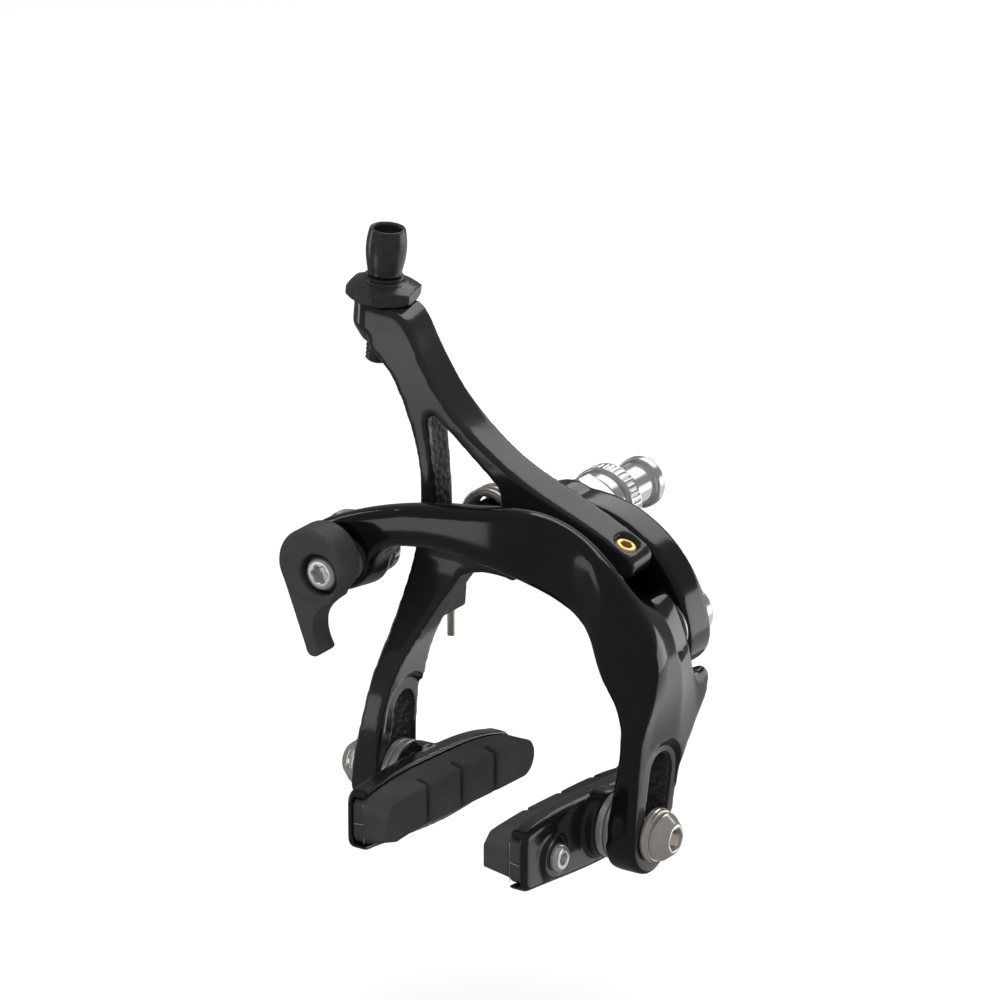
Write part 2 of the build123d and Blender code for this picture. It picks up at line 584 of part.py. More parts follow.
with BuildPart() as spring_slider:
    # nylon block on the rear of the left leg, grooved for the spring's long leg
    with BuildSketch(front_plane(coil_rear + WIRE_R + 1.2)):
        with BuildLine():
            Polyline((-28.2, -17.6), (-24.2, -17.6), (-24.6, -22.8), (-28.4, -22.8), close=True)
        make_face()
    extrude(amount=coil_rear + WIRE_R + 1.2 - SLIDER_FRONT)
    fillet(spring_slider.edges().filter_by(Axis.Y), 0.6)
    add(left_leg.part, mode=Mode.SUBTRACT)
    with BuildSketch(front_plane(coil_rear + WIRE_R + 2)):
        with Locations((LEG_TIP[0], (KNEE[1] + LEG_TIP[1]) / 2)):
            Rectangle(2 * WIRE_R + 0.3, KNEE[1] - LEG_TIP[1])
    extrude(amount=2 * WIRE_R + 2.2, mode=Mode.SUBTRACT)
save(spring_slider.part, "spring_slider")


# ---------------------------------------------------------------- adjuster
with BuildPart() as adjuster_barrel:
    barrel_plane = Plane(origin=adjuster_plane(0).origin, x_dir=adjuster_dir, z_dir=(0, -1, 0))
    with BuildSketch(barrel_plane):
        with BuildLine():
            ridges = []
            for turn in range(6):
                root = -THREAD_DOWN + 0.2 + turn * THREAD_PITCH
                ridges += [(root, THREAD_R - 0.45), (root + 0.5 * THREAD_PITCH, THREAD_R)]
            foot = Polyline((-THREAD_DOWN, 0), (-THREAD_DOWN, THREAD_R - 0.7), *ridges,
                            (4.7, THREAD_R), (4.7, 3.2), (5.6, 3.3))
            belly = Spline(foot @ 1, (7.4, 3.65), (9.6, 3.85), (12.0, 3.7), (BARREL_TOP - 0.25, 3.42))
            Polyline(belly @ 1, (BARREL_TOP, 3.3), (BARREL_TOP, 0), foot @ 0)
        make_face()
    revolve(axis=Axis(barrel_plane.origin, adjuster_dir))
    with BuildSketch(adjuster_plane(BARREL_TOP)):
        Circle(HOUSING_R)
    extrude(amount=-SOCKET_DEPTH, mode=Mode.SUBTRACT)
    with BuildSketch(adjuster_plane(BARREL_TOP)):
        Circle(HOUSING_R + 0.35)
    with BuildSketch(adjuster_plane(BARREL_TOP - 0.35)):
        Circle(HOUSING_R)
    loft(mode=Mode.SUBTRACT)
    with BuildSketch(adjuster_plane(BARREL_TOP)):
        Circle(1.1)
    extrude(amount=-BARREL_TOP - THREAD_DOWN - 1, mode=Mode.SUBTRACT)
save(adjuster_barrel.part, "adjuster_barrel")

with BuildPart() as adjuster_nut:
    with BuildSketch(adjuster_plane(0.1)):
        RegularPolygon(radius=ADJ_NUT_ACROSS / 2, side_count=6, major_radius=False, rotation=15)
    extrude(amount=ADJ_NUT_T - 1.0)
    with BuildSketch(barrel_plane):
        with BuildLine():
            Polyline((0, 0), (0.1, 6.4), (0.8, 7.25), (ADJ_NUT_T - 2.0, 7.25), (ADJ_NUT_T - 1.1, 4.6),
                     (ADJ_NUT_T - 1.0, 3.9), (ADJ_NUT_T, 3.9), (ADJ_NUT_T, 0), close=True)
        make_face()
    revolve(axis=Axis(barrel_plane.origin, adjuster_dir), mode=Mode.INTERSECT)
    with BuildSketch(adjuster_plane(ADJ_NUT_T - 1.1)):
        Circle(3.5)
    with BuildSketch(adjuster_plane(ADJ_NUT_T)):
        Circle(3.85)
    loft()
    with BuildSketch(adjuster_plane(-1)):
        Circle(THREAD_R + RUN)
    extrude(amount=ADJ_NUT_T + 2, mode=Mode.SUBTRACT)
save(adjuster_nut.part, "adjuster_nut")


# ---------------------------------------------------------------- quick-release and cable clamp
CARRIER_FRONT = ARCH_REAR + 0.3
CARRIER_REAR = CARRIER_FRONT + 1.8

with BuildPart() as qr_cam:
    with BuildSketch(front_plane(CARRIER_FRONT)):
        with Locations((CAM_X, CAM_Z)):
            Circle(CAM_R)
    extrude(amount=CARRIER_FRONT - (KNOB_REAR - 3.4))
    with BuildSketch(front_plane(CARRIER_REAR)):
        with Locations((CAM_X, CAM_Z)):
            Circle(5.2)
        with Locations((CLAMP_X, CLAMP_Z)):
            Circle(5.6)
        make_hull()
    extrude(amount=CARRIER_REAR - CARRIER_FRONT)
    # stud of the cable clamp
    with BuildSketch(front_plane(CARRIER_REAR + 7.4)):
        with Locations((CLAMP_X, CLAMP_Z)):
            Circle(2.5)
    extrude(amount=7.4)
    # threaded hole for the lever's screw
    with BuildSketch(front_plane(KNOB_REAR - 4)):
        with Locations((CAM_X, CAM_Z)):
            Circle(1.55)
    extrude(amount=-7.0, mode=Mode.SUBTRACT)
save(qr_cam.part, "qr_cam")

with BuildPart() as clamp_washer:
    add(ring_y(CLAMP_X, CLAMP_Z, CLAMP_R, 2.5 + RUN, CARRIER_REAR, CARRIER_REAR + 1.8))
    chamfer(clamp_washer.edges().filter_by(GeomType.CIRCLE).group_by(SortBy.RADIUS)[-1], 0.3)
    # groove that the inner cable lies in, beside the stud
    with BuildSketch(Plane.XY.offset(CLAMP_Z - 8)):
        with Locations((CLAMP_X - 3.4, CARRIER_REAR)):
            Circle(0.75)
    extrude(amount=16, mode=Mode.SUBTRACT)
save(clamp_washer.part, "clamp_washer")

with BuildPart() as clamp_nut:
    with BuildSketch(front_plane(CARRIER_REAR + 5.8)):
        with Locations((CLAMP_X, CLAMP_Z)):
            RegularPolygon(radius=4.0, side_count=6, major_radius=False)
            Circle(2.5 + RUN, mode=Mode.SUBTRACT)
    extrude(amount=4.0)
save(clamp_nut.part, "clamp_nut")

with BuildPart() as qr_lever:
    with BuildSketch(front_plane(KNOB_REAR)):
        with Locations((KNOB_X, KNOB_Z)):
            Circle(KNOB_R)
    extrude(amount=KNOB_REAR - KNOB_FRONT)
    fillet(qr_lever.edges().filter_by(GeomType.CIRCLE).sort_by(Axis.Y)[0], 0.9)
    with BuildSketch(front_plane(KNOB_REAR - 1.0)) as blade:
        with BuildLine():
            outside = Line((KNOB_X - KNOB_R + 0.05, -7.5), (-38.4, -23.2))
            tip = ThreePointArc(outside @ 1, (-36.9, -24.8), (-35.2, -23.8))
            scoop = Spline(tip @ 1, (-36.3, -21.4), (-36.7, -19.0), (-36.1, -16.6), (-34.6, -14.7), (-32.4, -12.9))
            Polyline(scoop @ 1, (-31.2, -9.5), outside @ 0)
        make_face()
    extrude(amount=KNOB_REAR - 1.0 - (KNOB_FRONT + 0.3))
    # counterbore and hole of the lever's screw, and the cam's seat behind it
    with BuildSketch(front_plane(KNOB_FRONT + 2.6)):
        with Locations((CAM_X, CAM_Z)):
            Circle(4.15)
    extrude(amount=4, mode=Mode.SUBTRACT)
    with BuildSketch(front_plane(KNOB_REAR)):
        with Locations((CAM_X, CAM_Z)):
            Circle(1.7)
    extrude(amount=KNOB_REAR - KNOB_FRONT, mode=Mode.SUBTRACT)
    with BuildSketch(front_plane(KNOB_REAR)):
        with Locations((CAM_X, CAM_Z)):
            Circle(CAM_R)
    extrude(amount=3.4, mode=Mode.SUBTRACT)
save(qr_lever.part, "qr_lever")

with BuildPart() as qr_screw:
    seat_y = KNOB_FRONT + 2.6
    with BuildSketch(front_plane(seat_y)):
        with Locations((CAM_X, CAM_Z)):
            Circle(3.25)
    extrude(amount=2.1)
    fillet(qr_screw.edges().filter_by(GeomType.CIRCLE).sort_by(Axis.Y)[0], 0.9)
    with BuildSketch(front_plane(seat_y + 7.0)):
        with Locations((CAM_X, CAM_Z)):
            Circle(1.5)
    extrude(amount=7.0)
    screw_face = Plane(origin=(CAM_X, seat_y - 2.1, CAM_Z), x_dir=(1, 0, 0), z_dir=(0, -1, 0))
    lobe_socket(screw_face, 3.6, 1.5)
save(qr_screw.part, "qr_screw")


# ---------------------------------------------------------------- brake shoes
SHOE_NOSE = -61.2
SHOE_TOP = [(-56.0, -42.8), (-48.0, -42.5), (-36.0, -43.1), (-24.0, -44.2), (-14.5, -46.4)]
SHOE_BOTTOM = [(-14.2, -56.4), (-24.0, -57.8), (-36.0, -57.6), (-46.0, -56.5), (-56.0, -55.2)]

# the rubber block's outlines at the holder and at the braking face, each from the nose's top corner
BLOCK_ROOT = {
    "top": [(-58.4, -43.9), (-48.0, -43.2), (-36.0, -43.8), (-24.0, -44.8), (-14.8, -46.8)],
    "tail": (-10.6, -51.2),
    "bottom": [(-14.4, -55.8), (-24.0, -57.0), (-36.0, -56.8), (-46.0, -55.7), (-57.6, -54.2)],
    "nose": [(-61.2, -51.8), (-61.2, -46.0)],
}
BLOCK_FACE = {
    "top": [(-59.0, -44.7), (-48.0, -44.6), (-36.0, -45.3), (-24.0, -46.2), (-15.5, -47.4)],
    "tail": (-10.4, -50.8),
    "bottom": [(-13.6, -54.6), (-24.0, -54.0), (-36.0, -53.1), (-46.0, -52.4), (-57.6, -52.5)],
    "nose": [(-61.2, -51.0), (-61.2, -46.6)],
}


def shoe_outline(inset, nose):
    """Side view of the holder in Y and Z, inset from its edge; nose lengthens its front."""
    front_y = SHOE_NOSE - nose
    with BuildSketch() as outline:
        with BuildLine():
            upper = Spline((front_y, -43.3 - inset), *[(y, z - inset) for y, z in SHOE_TOP])
            lower = Spline(*[(y, z + inset) for y, z in SHOE_BOTTOM], (front_y, -54.6 + inset))
            ThreePointArc(upper @ 1, (-10.0 - inset, -51.2), lower @ 0)
            Line(lower @ 1, upper @ 0)
        make_face()
        fillet(outline.vertices().sort_by(Axis.X)[:2], 2.2)
    return outline.sketch


def block_outline(shape):
    """Side view of the rubber block in Y and Z at one of its two ends."""
    with BuildSketch() as outline:
        with BuildLine():
            upper = Spline(*shape["top"])
            lower = Spline(*shape["bottom"])
            ThreePointArc(upper @ 1, shape["tail"], lower @ 0)
            Polyline(lower @ 1, *shape["nose"], upper @ 0)
        make_face()
    return outline.sketch


def pad_bolt_plane(x):
    """Plane square to the pad bolt at width x."""
    return Plane(origin=(x, SHOE_Y, SHOE_Z), x_dir=(0, 1, 0), z_dir=(1, 0, 0))


def turned(points):
    """Solid turned about the pad bolt's axis; points are (width, radius)."""
    with BuildPart() as solid:
        with BuildSketch(Plane(origin=(0, SHOE_Y, SHOE_Z), x_dir=(1, 0, 0), z_dir=(0, -1, 0))):
            with BuildLine():
                Polyline(*points, close=True)
            make_face()
        revolve(axis=Axis((0, SHOE_Y, SHOE_Z), (1, 0, 0)))
    return solid.part


def make_pad():
    """Rubber brake pad: grooved face block and the tongue that slides into the holder."""
    with BuildPart() as pad:
        for width, shape in ((PAD_FACE, BLOCK_FACE), (HOLDER_IN, BLOCK_ROOT)):
            with BuildSketch(side_plane(width)):
                add(block_outline(shape))
        loft(ruled=True)
        with BuildSketch(side_plane(HOLDER_IN)):
            add(shoe_outline(1.15, -0.6))
        extrude(amount=CHANNEL_FLOOR - HOLDER_IN - 0.05)
        with BuildSketch(Plane.XY.offset(-60)):
            with Locations((PAD_FACE + GROOVE_DEPTH / 2 - 1, SHOE_Y)):
                with GridLocations(1, GROOVE_PITCH, 1, 3):
                    Rectangle(GROOVE_DEPTH + 2, GROOVE_WIDTH)
        extrude(amount=30, mode=Mode.SUBTRACT)
        # room for the holder's threaded boss and the tip of the retaining screw
        with BuildSketch(pad_bolt_plane(CHANNEL_FLOOR + 1)):
            Circle(4.6)
            with Locations(PAD_SCREW):
                Circle(1.6)
        extrude(amount=-4.6, mode=Mode.SUBTRACT)
    return pad.part


def make_holder():
    """Cast holder: channel for the pad, threaded boss for the pad bolt, raised boss for the screw."""
    with BuildPart() as holder:
        with BuildSketch(side_plane(HOLDER_IN + 0.1)):
            add(shoe_outline(0, 0))
        extrude(amount=HOLDER_FACE - HOLDER_IN - 0.1)
        fillet(holder.faces().sort_by(Axis.X)[-1].edges(), 1.2)
        with BuildSketch(side_plane(HOLDER_IN)):
            add(shoe_outline(1.1, 3))
        extrude(amount=CHANNEL_FLOOR - HOLDER_IN, mode=Mode.SUBTRACT)
        with BuildSketch(pad_bolt_plane(CHANNEL_FLOOR)):
            Circle(4.4)
        extrude(amount=-2.6)
        # hub for the washers, and the retaining screw's boss
        with BuildSketch(pad_bolt_plane(CHANNEL_FLOOR)):
            Circle(HUB_SEAT_R)
        extrude(amount=HOLDER_OUT - CHANNEL_FLOOR)
        with BuildSketch(pad_bolt_plane(HOLDER_FACE)):
            with Locations(PAD_SCREW):
                Circle(SCREW_BOSS_R)
        extrude(amount=SCREW_BOSS)
        with BuildSketch(pad_bolt_plane(HOLDER_OUT + 2)):
            Circle(PAD_BOLT_R + RUN)
            with Locations(PAD_SCREW):
                Circle(1.55)
        extrude(amount=-8, mode=Mode.SUBTRACT)
    return holder.part


def make_pad_screw():
    """Retaining screw of the pad, with a button head on the holder's raised boss."""
    head_seat = HOLDER_FACE + SCREW_BOSS
    with BuildPart() as screw:
        with BuildSketch(pad_bolt_plane(head_seat)):
            with Locations(PAD_SCREW):
                Circle(BUTTON_R)
        extrude(amount=BUTTON_T)
        fillet(screw.edges().filter_by(GeomType.CIRCLE).sort_by(Axis.X)[-1], 0.9)
        with BuildSketch(pad_bolt_plane(head_seat)):
            with Locations(PAD_SCREW):
                Circle(1.5)
        extrude(amount=-4.9)
        face = pad_bolt_plane(head_seat + BUTTON_T)
        face = face.shift_origin((head_seat + BUTTON_T, SHOE_Y + PAD_SCREW[0], SHOE_Z + PAD_SCREW[1]))
        hex_socket(face, 2.2, 1.0)
    return screw.part


def make_pad_bolt():
    """Pad bolt with a conical head and a hexagon socket."""
    with BuildPart() as bolt:
        head = LEG_OUT + 1.7
        add(turned([(CHANNEL_FLOOR - 2.2, 0), (CHANNEL_FLOOR - 2.2, PAD_BOLT_R - 0.5),
                    (CHANNEL_FLOOR - 1.7, PAD_BOLT_R), (head, PAD_BOLT_R), (head, 4.6), (head + 0.9, 4.6),
                    (head + 3.0, 2.9), (head + 3.2, 2.5), (head + 3.2, 0)]))
        hex_socket(pad_bolt_plane(head + 3.2), 4.0, 2.8)
    return bolt.part


BORE = PAD_BOLT_R + RUN
STEPPED_WASHER = [(LEG_OUT, BORE), (LEG_OUT, 5.2), (LEG_OUT + 0.9, 5.2), (LEG_OUT + 1.1, 4.95),
                  (LEG_OUT + 1.7, 4.95), (LEG_OUT + 1.7, BORE)]


def spherical_pair():
    """Points of the convex washer against the leg and the dished one against the holder."""
    seat = HOLDER_OUT + 0.1
    mid = (seat + LEG_IN) / 2
    convex = [(LEG_IN, 3.15), (LEG_IN, 6.2), (LEG_IN - 1.2, 6.2), (mid + 0.1, 5.0), (mid - 0.3, 3.15)]
    dished = [(seat, 3.15), (mid - 0.4, 3.15), (mid, 5.0), (LEG_IN - 1.35, 6.25), (LEG_IN - 1.6, 6.3),
              (seat, 6.3)]
    return convex, dished


for side in ("right", "left"):
    convex_points, dished_points = spherical_pair()
    pieces = {
        "brake_pad": make_pad(),
        "shoe_holder": make_holder(),
        "pad_screw": make_pad_screw(),
        "pad_bolt": make_pad_bolt(),
        "stepped_washer": turned(STEPPED_WASHER),
        "convex_washer": turned(convex_points),
        "dished_washer": turned(dished_points),
    }
    for piece, solid in pieces.items():
        with BuildPart() as placed:
            add(solid)
            if side == "left":
                mirror(about=Plane.YZ, mode=Mode.REPLACE)
        save(placed.part, side + "_" + piece)
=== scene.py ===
import math

import bmesh
import bpy
import numpy as np
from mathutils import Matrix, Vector
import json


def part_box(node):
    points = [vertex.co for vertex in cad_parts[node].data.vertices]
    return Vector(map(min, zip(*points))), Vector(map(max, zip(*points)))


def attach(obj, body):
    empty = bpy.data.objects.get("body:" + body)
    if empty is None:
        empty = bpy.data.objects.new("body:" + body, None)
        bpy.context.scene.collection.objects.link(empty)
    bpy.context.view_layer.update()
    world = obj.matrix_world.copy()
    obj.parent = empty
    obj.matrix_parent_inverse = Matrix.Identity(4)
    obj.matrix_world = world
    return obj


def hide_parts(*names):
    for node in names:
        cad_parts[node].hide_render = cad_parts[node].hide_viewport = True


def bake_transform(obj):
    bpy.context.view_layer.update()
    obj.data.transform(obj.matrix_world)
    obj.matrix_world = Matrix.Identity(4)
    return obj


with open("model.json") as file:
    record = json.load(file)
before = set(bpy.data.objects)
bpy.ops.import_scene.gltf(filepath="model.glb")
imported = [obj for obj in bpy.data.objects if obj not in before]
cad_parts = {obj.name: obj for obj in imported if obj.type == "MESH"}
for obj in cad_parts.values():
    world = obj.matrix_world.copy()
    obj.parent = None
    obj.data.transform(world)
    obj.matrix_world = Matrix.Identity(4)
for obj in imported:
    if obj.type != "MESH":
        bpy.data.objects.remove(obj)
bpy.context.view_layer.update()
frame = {"nodes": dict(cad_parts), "record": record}

# Looks of the dual-pivot rim brake caliper, in metres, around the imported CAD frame.
MM = 0.001
NODES = frame["nodes"]
BODY_OF = {node: body for body, nodes in frame["record"]["behaviour"]["bodies"].items() for node in nodes}
SLOT_OF = {part["node"]: part["material_slot"] for part in frame["record"]["subparts"]}


# ---------------------------------------------------------------- camera, floor and light
VIEW_AZIMUTH = math.radians(33.0)
VIEW_ELEVATION = math.radians(20.3)
VIEW_DISTANCE = 1.2
VIEW_TARGET = Vector((-5.69, -30.31, 7.67)) * MM
VIEW_LENS = 233.3
SENSOR_WIDTH = 36.0
CLIP_START = 0.01


def aim(piece, target):
    """Turn a camera or lamp so that it looks at a point."""
    piece.rotation_euler = (target - piece.location).to_track_quat("-Z", "Y").to_euler()


def add_camera():
    camera = bpy.data.objects.new("camera", bpy.data.cameras.new("camera"))
    bpy.context.scene.collection.objects.link(camera)
    back = Vector((math.sin(VIEW_AZIMUTH) * math.cos(VIEW_ELEVATION),
                   -math.cos(VIEW_AZIMUTH) * math.cos(VIEW_ELEVATION),
                   math.sin(VIEW_ELEVATION)))
    camera.location = VIEW_TARGET + back * VIEW_DISTANCE
    camera.data.lens = VIEW_LENS
    camera.data.sensor_width = SENSOR_WIDTH
    camera.data.clip_start = CLIP_START
    aim(camera, VIEW_TARGET)
    bpy.context.scene.camera = camera


def add_softbox(name, direction, distance, size, radiance, glossy=True):
    """Rectangular soft lamp that faces the caliper; glossy=False keeps it out of reflections."""
    lamp = bpy.data.lights.new(name, "AREA")
    lamp.shape = "RECTANGLE"
    lamp.size, lamp.size_y = size
    lamp.energy = radiance * math.pi * size[0] * size[1]
    softbox = bpy.data.objects.new(name, lamp)
    bpy.context.scene.collection.objects.link(softbox)
    softbox.location = VIEW_TARGET + Vector(direction).normalized() * distance
    aim(softbox, VIEW_TARGET)
    softbox.visible_glossy = glossy
    softbox.visible_camera = False


def add_floor(drop=0.055, half=2.5):
    """Plain pale floor a little below the hanging caliper."""
    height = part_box("right_brake_pad")[0].z - drop
    mesh = bpy.data.meshes.new("floor")
    corners = [(-half, -half, height), (half, -half, height), (half, half, height), (-half, half, height)]
    mesh.from_pydata(corners, [], [(0, 1, 2, 3)])
    floor = bpy.data.objects.new("floor", mesh)
    bpy.context.scene.collection.objects.link(floor)
    floor.visible_glossy = False
    return floor


WORLD_LIGHT = 0.16


def add_studio():
    world = bpy.data.worlds.new("studio")
    world.use_nodes = True
    background = world.node_tree.nodes["Background"]
    background.inputs["Color"].default_value = (1.0, 1.0, 1.0, 1.0)
    background.inputs["Strength"].default_value = WORLD_LIGHT
    bpy.context.scene.world = world
    bpy.context.scene.view_settings.view_transform = "Standard"
    # overhead key, only for matt surfaces and the floor
    add_softbox("key", (0.2, -0.3, 1.0), 1.6, (2.2, 2.2), 3.4, glossy=False)
    # two cards on the right, a bright one level with the caliper and a dim one lower, seen in the arms' sides
    add_softbox("side_card", (0.62, 0.787, -0.07), 1.4, (1.3, 0.52), 1.6)
    add_softbox("leg_card", (0.42, 0.80, -0.47), 1.4, (1.9, 0.62), 0.65)
    # high softbox behind, seen in the sloping upper faces
    add_softbox("high_back", (-0.08, 0.74, 0.70), 1.3, (1.06, 0.80), 1.45)
    # small card in front, seen in the left arm's front face
    add_softbox("low_card", (-0.62, -0.747, -0.237), 0.165, (0.045, 0.05), 1.0)
    # narrow strip on the left, for the thin edge lights
    add_softbox("left_strip", (-1.0, -0.25, 0.12), 1.3, (0.25, 1.2), 2.0)


# ---------------------------------------------------------------- materials
def new_material(name):
    material = bpy.data.materials.new(name)
    material.use_nodes = True
    return material, material.node_tree.links, material.node_tree.nodes["Principled BSDF"]


def noise_node(material, scale, detail=3.0, roughness=0.5):
    """Noise in the piece's own space, with the scale in cells per metre."""
    nodes, links = material.node_tree.nodes, material.node_tree.links
    place = nodes.new("ShaderNodeTexCoord")
    noise = nodes.new("ShaderNodeTexNoise")
    noise.inputs["Scale"].default_value = scale
    noise.inputs["Detail"].default_value = detail
    noise.inputs["Roughness"].default_value = roughness
    links.new(place.outputs["Object"], noise.inputs["Vector"])
    return noise


def ranged(material, source, low, high, from_low=0.3, from_high=0.7):
    """Map a grey output onto a range of values."""
    span = material.node_tree.nodes.new("ShaderNodeMapRange")
    span.inputs["From Min"].default_value = from_low
    span.inputs["From Max"].default_value = from_high
    span.inputs["To Min"].default_value = low
    span.inputs["To Max"].default_value = high
    material.node_tree.links.new(source, span.inputs["Value"])
    return span.outputs["Result"]


def add_bump(material, shader, source, strength, distance, normal=None):
    bump = material.node_tree.nodes.new("ShaderNodeBump")
    bump.inputs["Strength"].default_value = strength
    bump.inputs["Distance"].default_value = distance
    material.node_tree.links.new(source, bump.inputs["Height"])
    if normal is not None:
        material.node_tree.links.new(normal, bump.inputs["Normal"])
    material.node_tree.links.new(bump.outputs["Normal"], shader.inputs["Normal"])
    return bump.outputs["Normal"]


def tinted(material, source, dark, light):
    """Colour that wanders between two tones."""
    ramp = material.node_tree.nodes.new("ShaderNodeValToRGB")
    ramp.color_ramp.elements[0].position = 0.3
    ramp.color_ramp.elements[0].color = (*dark, 1.0)
    ramp.color_ramp.elements[1].position = 0.7
    ramp.color_ramp.elements[1].color = (*light, 1.0)
    material.node_tree.links.new(source, ramp.inputs["Fac"])
    return ramp.outputs["Color"]


def black_paint(name, low, high, dark=0.0018, light=0.003, coat=0.35):
    """Gloss black paint with a faint orange peel and slightly uneven gloss."""
    material, links, shader = new_material(name)
    cloud = noise_node(material, 60, 4)
    links.new(ranged(material, cloud.outputs["Fac"], low, high), shader.inputs["Roughness"])
    links.new(tinted(material, cloud.outputs["Fac"], (dark, dark, dark * 1.15), (light, light, light * 1.15)),
              shader.inputs["Base Color"])
    shader.inputs["Specular IOR Level"].default_value = 0.5
    shader.inputs["Coat Weight"].default_value = coat
    shader.inputs["Coat Roughness"].default_value = 0.06
    peel = noise_node(material, 900, 2)
    add_bump(material, shader, peel.outputs["Fac"], 0.05, 0.0001)
    return material


def cast_paint(name):
    """Thin black paint over the rough walls of the slots and the opening."""
    material, links, shader = new_material(name)
    grain = noise_node(material, 1500, 5, 0.65)
    nodes = material.node_tree.nodes
    pits = nodes.new("ShaderNodeTexVoronoi")
    pits.inputs["Scale"].default_value = 900
    place = nodes.new("ShaderNodeTexCoord")
    links.new(place.outputs["Object"], pits.inputs["Vector"])
    links.new(tinted(material, grain.outputs["Fac"], (0.006, 0.006, 0.006), (0.03, 0.03, 0.03)),
              shader.inputs["Base Color"])
    links.new(ranged(material, grain.outputs["Fac"], 0.22, 0.5), shader.inputs["Roughness"])
    first = add_bump(material, shader, pits.outputs["Distance"], 0.8, 0.0004)
    add_bump(material, shader, grain.outputs["Fac"], 0.7, 0.0003, first)
    return material


def anodised_black(name):
    material, links, shader = new_material(name)
    grain = noise_node(material, 2600, 3)
    links.new(tinted(material, grain.outputs["Fac"], (0.010, 0.010, 0.012), (0.018, 0.018, 0.020)),
              shader.inputs["Base Color"])
    links.new(ranged(material, grain.outputs["Fac"], 0.20, 0.30), shader.inputs["Roughness"])
    shader.inputs["Specular IOR Level"].default_value = 0.8
    add_bump(material, shader, grain.outputs["Fac"], 0.03, 0.00003)
    return material


def textured_plastic(name):
    """Spark-eroded black nylon of the quick-release lever."""
    material, links, shader = new_material(name)
    grain = noise_node(material, 4200, 2)
    cloud = noise_node(material, 120, 3)
    links.new(tinted(material, cloud.outputs["Fac"], (0.030, 0.030, 0.031), (0.040, 0.040, 0.041)),
              shader.inputs["Base Color"])
    links.new(ranged(material, grain.outputs["Fac"], 0.5, 0.65), shader.inputs["Roughness"])
    add_bump(material, shader, grain.outputs["Fac"], 0.25, 0.00008)
    return material


def brake_rubber(name, paler=0.0):
    material, links, shader = new_material(name)
    grain = noise_node(material, 3000, 5, 0.7)
    cloud = noise_node(material, 140, 3)
    links.new(tinted(material, cloud.outputs["Fac"], (0.030 + paler, 0.030 + paler, 0.031 + paler),
                     (0.042 + paler, 0.042 + paler, 0.043 + paler)), shader.inputs["Base Color"])
    links.new(ranged(material, grain.outputs["Fac"], 0.72, 0.92), shader.inputs["Roughness"])
    shader.inputs["Specular IOR Level"].default_value = 0.25
    add_bump(material, shader, grain.outputs["Fac"], 0.35, 0.00008)
    return material


def plated_metal(name, colour, low, high, scratch=0.02, sheen=0.86):
    """Plated steel: fine uneven polish and hairline marks, with a slightly milky plating."""
    material, links, shader = new_material(name)
    shader.inputs["Metallic"].default_value = sheen
    cloud = noise_node(material, 260, 5, 0.6)
    darker = tuple(0.9 * c for c in colour)
    links.new(tinted(material, cloud.outputs["Fac"], darker, colour), shader.inputs["Base Color"])
    links.new(ranged(material, cloud.outputs["Fac"], low, high), shader.inputs["Roughness"])
    grain = noise_node(material, 2400, 3)
    add_bump(material, shader, grain.outputs["Fac"], scratch, 0.00005)
    return material


def bush_resin(name):
    material, links, shader = new_material(name)
    cloud = noise_node(material, 400, 3)
    links.new(tinted(material, cloud.outputs["Fac"], (0.62, 0.60, 0.54), (0.72, 0.70, 0.64)),
              shader.inputs["Base Color"])
    links.new(ranged(material, cloud.outputs["Fac"], 0.45, 0.6), shader.inputs["Roughness"])
    return material


def pale_floor(name):
    material, _, shader = new_material(name)
    shader.inputs["Base Color"].default_value = (0.9, 0.9, 0.9, 1.0)
    shader.inputs["Roughness"].default_value = 0.9
    shader.inputs["Specular IOR Level"].default_value = 0.0
    return material


MATERIALS = {
    "arm_paint": black_paint("arm_paint", 0.10, 0.16),
    # same gloss black as the front arch, with its base colour lifted about four times as painted light that
    # the upper arm's faces catch; the rougher satin finish is its own
    "arm_satin_painted_light": black_paint("arm_satin_painted_light", 0.15, 0.21, 0.008, 0.011, 0.5),
    "arm_cast": cast_paint("arm_cast"),
    "black_hardware": anodised_black("black_hardware"),
    "lever_plastic": textured_plastic("lever_plastic"),
    "bright_steel": plated_metal("bright_steel", (0.72, 0.72, 0.73), 0.14, 0.22),
    "nickel_steel": plated_metal("nickel_steel", (0.84, 0.79, 0.74), 0.12, 0.20, 0.01, 0.9),
    "washer_steel": plated_metal("washer_steel", (0.62, 0.61, 0.60), 0.28, 0.40, 0.06),
    "spring_steel": plated_metal("spring_steel", (0.76, 0.69, 0.62), 0.18, 0.30, 0.05),
    "brass": plated_metal("brass", (0.85, 0.62, 0.25), 0.16, 0.26),
    "bush_resin": bush_resin("bush_resin"),
    "slider_nylon": textured_plastic("slider_nylon"),
    "pad_rubber": brake_rubber("pad_rubber"),
    "mould_flash": brake_rubber("mould_flash", 0.16),
    "holder_gloss": black_paint("holder_gloss", 0.14, 0.22, 0.004, 0.007),
}


# ---------------------------------------------------------------- mesh helpers
def add_piece(name, mesh, material, node):
    """New piece that stands for a CAD node and moves with that node's body."""
    piece = bpy.data.objects.new(name, mesh)
    bpy.context.scene.collection.objects.link(piece)
    mesh.materials.clear()
    mesh.materials.append(MATERIALS[material])
    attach(piece, BODY_OF[node])
    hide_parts(node)
    return piece


def points_of(mesh):
    points = np.zeros(len(mesh.vertices) * 3)
    mesh.vertices.foreach_get("co", points)
    return points.reshape(-1, 3)


def set_points(mesh, points):
    mesh.vertices.foreach_set("co", points.ravel())
    mesh.update()


